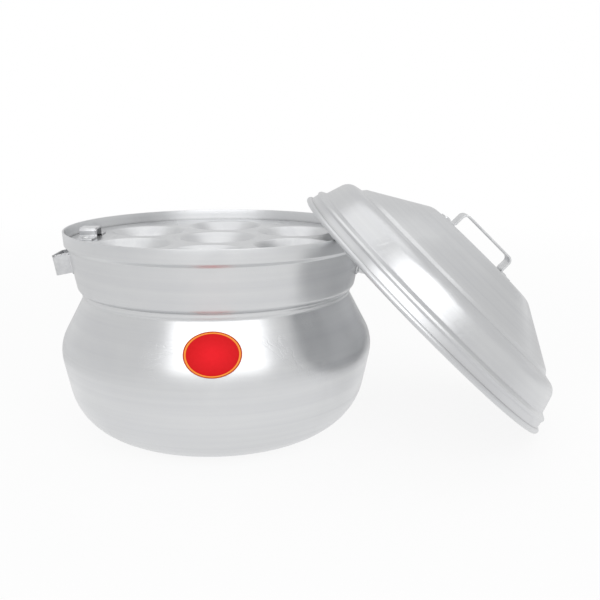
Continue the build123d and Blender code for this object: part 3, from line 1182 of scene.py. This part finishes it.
@dataclass
class Lid:
    """The spun lid, its strap handle and their rivets, in the lid's own leaning frame, in mm."""

    axis: Axis = field(default_factory=lambda: Axis((190.61, 0.0, 105.417), 44.7))
    wall: float = 1.4
    roll_line_radius: float = 148.8
    roll_section: float = 2.6
    roll_start: float = 205.0
    roll_steps: int = 18
    band_height: float = 11.2
    band_taper: float = 1.8
    bead_height: float = 4.0
    bead_depth: float = 0.9
    bead_corner: float = 1.0
    notch_radius: float = 142.0
    notch_height: float = 17.9
    notch_corner: float = 2.2
    bulge_radius: float = 134.8
    bulge_height: float = 40.3
    bulge_corner: float = 13.0
    crease_radius: float = 120.2
    crease_height: float = 43.3
    crease_corner: float = 1.8
    cone_radius: float = 117.6
    cone_height: float = 46.8
    cone_corner: float = 3.6
    top_radius: float = 61.5
    top_height: float = 79.6
    top_corner: float = 16.0
    apex_rise: float = 1.2
    handle_span: float = 63.5
    handle_offset: float = 7.2
    handle_rise: float = 17.7
    handle_width: float = 20.0
    handle_thickness: float = 1.6
    handle_corner: float = 6.0
    handle_bend: float = 2.0
    handle_foot: float = 12.0

    def roll(self) -> list[Point]:
        """Draw the rolled edge from its end, inside, round to where the band leaves it.

        Returns:
            Radius and height of each point.
        """
        section = self.roll_section
        meet = math.degrees(math.atan2(self.band_height - section, -self.band_taper)) + 360
        turns = [math.radians(self.roll_start + (meet - self.roll_start) * k / self.roll_steps)
                 for k in range(self.roll_steps + 1)]
        return [(self.roll_line_radius + section * math.cos(turn),
                 section + section * math.sin(turn)) for turn in turns]

    def outline(self) -> list[Point]:
        """Draw the outer surface from the end of the rolled edge up to the middle of the top.

        Returns:
            Radius and height of each point.
        """
        roll = self.roll()
        band = self.roll_line_radius - self.band_taper
        rest = rounded_line([
            (*roll[-1], 0),
            (band, self.band_height, self.bead_corner),
            (band + self.bead_depth, self.band_height + self.bead_height / 2, self.bead_corner),
            (band, self.band_height + self.bead_height, self.bead_corner),
            (self.notch_radius, self.notch_height, self.notch_corner),
            (self.bulge_radius, self.bulge_height, self.bulge_corner),
            (self.crease_radius, self.crease_height, self.crease_corner),
            (self.cone_radius, self.cone_height, self.cone_corner),
            (self.top_radius, self.top_height, self.top_corner),
            (0, self.top_height + self.apex_rise, 0),
        ])
        return roll + rest[1:]

    def top_at(self, along: float) -> float:
        """Height of the slightly domed top above its edge, at a place along the handle."""
        return self.apex_rise * (1 - abs(along - self.handle_offset) / self.top_radius)

    def build(self) -> None:
        """Model and dress the shell, the handle and the rivets."""
        lean = self.axis.matrix()
        shell = spun("spun_lid", self.outline())
        thicken(shell, self.wall, 0.0)
        smooth(shell)
        placed(shell, lean)
        # Spun like the pot; its colour is a little darker than the pot's, as painted shade, and its
        # rings show more.
        metal = TurnedAluminium("spun satin aluminium, lid", axis=self.axis, colour="#D7D8D9",
                                dark="#CFD0D2", line_depth=0.02)
        finished(shell, metal.material(), Body.LID, Slot.SPUN, "lid_shell")

        # Hands keep the handle smooth, so its edges are the brightest of all the straps.
        strap_metal = ShearedAluminium("sheared aluminium strap, handle", roughness=0.26).material()
        rivet_metal = ShearedAluminium("aluminium rivet, handle",
                                       roughness=RIVET_ROUGHNESS).material()
        strap = Strap("lid_strap_handle", self.handle_span, self.handle_rise, self.handle_foot,
                      self.handle_width, self.handle_thickness, self.handle_corner,
                      self.handle_bend, seat=self.top_at)
        stand = lean @ moved(-self.handle_offset, 0, self.top_height)
        finished(strap.build(stand), strap_metal, Body.LID, Slot.STRAP, "lid_handle")
        reach = self.handle_span / 2 + self.handle_foot / 2
        slope = math.degrees(math.atan2(self.apex_rise, self.top_radius))
        seats = [stand @ moved(side * reach, 0, self.top_at(side * reach))
                 @ turned(side * slope, "Y") @ moved(0, 0, self.handle_thickness)
                 for side in (1, -1)]
        rivets = Rivet(self.handle_thickness + self.wall).set_at("lid_handle_rivet_pair", seats)
        finished(rivets, rivet_metal, Body.LID, Slot.RIVET, "lid_handle_rivets")


# The studio


@dataclass(frozen=True)
class SoftBox:
    """A soft lamp: its place, its width and height, in metres, and its power in watts."""

    name: str
    place: tuple[float, float, float]
    size: Point
    watts: float

    def build(self, aim: tuple[float, float, float]) -> None:
        """Hang the lamp and turn it to a place.

        Args:
            aim: Where it looks, in metres.
        """
        data = bpy.data.lights.new(self.name, "AREA")
        data.shape = "RECTANGLE"
        data.size, data.size_y = self.size
        data.energy = self.watts
        lamp = bpy.data.objects.new(self.name, data)
        bpy.context.scene.collection.objects.link(lamp)
        lamp.location = self.place
        lamp.visible_camera = False
        way = Vector(aim) - Vector(self.place)
        lamp.rotation_euler = way.to_track_quat("-Z", "Y").to_euler()


@dataclass
class Studio:
    """The floor, the soft lamps, the white surroundings and the camera.

    Places and sizes are in metres, turns in degrees and the sensor in mm.
    """

    lamps: tuple[SoftBox, ...] = (SoftBox("front_box", (0.16, -1.55, 1.32), (2.5, 1.55), 17.0),
                                  SoftBox("top_box", (0.0, 0.35, 2.1), (2.4, 1.8), 6.0))
    aim: tuple[float, float, float] = (0.03, 0.0, 0.1)
    floor_size: float = 12.0
    floor_colour: str = "#F2F2F2"
    floor_white: float = 0.9
    white_reach: Point = (0.5, 1.6)
    mirrored_white: float = 0.12
    mirrored_centre: tuple[float, float, float] = (0.1, 0.0, 0.0)
    mirrored_stretch: tuple[float, float, float] = (1.5, 1.0, 1.0)
    mirrored_near: Point = (0.22, 0.32)
    mirrored_far: Point = (0.8, 1.8)
    world_light: float = 0.62
    world_mirrored: float = 0.8
    camera_place: tuple[float, float, float] = (0.08179, -0.77062, 0.28982)
    camera_clip: Point = (0.01, 50.0)
    yaw: float = -0.311
    down: float = 9.173
    sensor: float = 36.0
    focal_pixels: float = 830.3
    frame_pixels: float = 600.0
    middle_pixel: float = 250.0

    def floor(self) -> None:
        """Lay a pale floor that looks white far off but keeps a soft shadow.

        In metal it shows white near the pot and far away, and mostly its paint between them.
        That gives the metal the darker bands that it has in the photograph.
        """
        nothing_selected()
        bpy.ops.mesh.primitive_plane_add(size=self.floor_size, location=(0, 0, 0))
        floor = bpy.context.object
        floor.name = "studio_floor"
        r = Recipe(bpy.data.materials.new("pale studio floor"))
        sight = r.add("LightPath").outputs
        place = r.place()
        reach = r.length(place)
        oval = r.length(r.mapped(place, "TEXTURE", Location=self.mirrored_centre,
                                 Scale=self.mirrored_stretch))
        near = r.spread(oval, *self.mirrored_near, 1.0, self.mirrored_white)
        far = r.spread(reach, *self.mirrored_far, 0.0, 1.0)
        seen = r.maths("MULTIPLY", sight["Is Camera Ray"],
                       r.spread(reach, *self.white_reach, self.floor_white, 1.0))
        mirrored = r.maths("MULTIPLY", sight["Is Glossy Ray"], r.maths("MAXIMUM", near, far))
        paint = r.add("BsdfDiffuse", {"Color": hex_colour(self.floor_colour)})
        white = r.add("Emission", {"Color": hex_colour(WHITE), "Strength": 1.0})
        both = r.add("MixShader", {0: r.maths("MAXIMUM", seen, mirrored), 1: paint.outputs[0],
                                   2: white.outputs[0]})
        floor.data.materials.append(r.finish(both))

    def surroundings(self) -> None:
        """Make the world white to the camera, a little less so in metal, else plain light."""
        world = bpy.data.worlds.new("white_studio")
        bpy.context.scene.world = world
        r = Recipe(world)
        sight = r.add("LightPath").outputs
        strength: Socket | float = self.world_light
        for ray, level in (("Is Glossy Ray", self.world_mirrored), ("Is Transmission Ray", 1.0),
                           ("Is Camera Ray", 1.0)):
            strength = r.add("Mix", {0: sight[ray], 2: strength, 3: level}).outputs[0]
        light = r.add("Background", {"Color": hex_colour(WHITE), "Strength": strength})
        r.finish(light, "OutputWorld")

    def camera(self) -> None:
        """Set up the photograph's viewpoint."""
        data = bpy.data.cameras.new("photo_camera")
        data.sensor_width = self.sensor
        data.lens = self.focal_pixels / self.frame_pixels * self.sensor
        data.shift_y = (self.middle_pixel - self.frame_pixels / 2) / self.frame_pixels
        data.clip_start, data.clip_end = self.camera_clip
        camera = bpy.data.objects.new("photo_camera", data)
        bpy.context.scene.collection.objects.link(camera)
        camera.location = self.camera_place
        camera.rotation_euler = (math.radians(90 - self.down), 0, math.radians(-self.yaw))
        bpy.context.scene.camera = camera

    def build(self) -> None:
        """Set up the whole studio."""
        self.floor()
        self.surroundings()
        for lamp in self.lamps:
            lamp.build(self.aim)
        self.camera()
        bpy.context.scene.view_settings.view_transform = "Standard"


def main() -> None:
    """Build the steamer piece by piece and set it in the studio."""
    logging.basicConfig(level=logging.INFO, format="%(message)s")
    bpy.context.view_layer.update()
    pot = Pot()
    upper_tray = Tray("upper_tray", "upper", Body.UPPER_TRAY, radius=137.1, ring_radius=83.0,
                      ring_cups=6, first_angle=90.0, middle_cup=True,
                      hole_angles=(60.0, 120.0, -60.0, -120.0))
    lower_tray = Tray("lower_tray", "lower", Body.LOWER_TRAY, radius=125.3, ring_radius=60.0,
                      ring_cups=4, first_angle=45.0, middle_cup=False,
                      hole_angles=(90.0, -90.0), centre_hole=7.0)
    pieces = [
        ("pot", pot),
        ("side lugs", SideLugs(pot)),
        ("front label", FrontLabel(pot)),
        ("upper tray", upper_tray),
        ("lower tray", lower_tray),
        ("lid", Lid()),
        ("studio", Studio()),
    ]
    for title, piece in pieces:
        piece.build()
        log.info("built the %s", title)


if __name__ == "__main__":
    main()
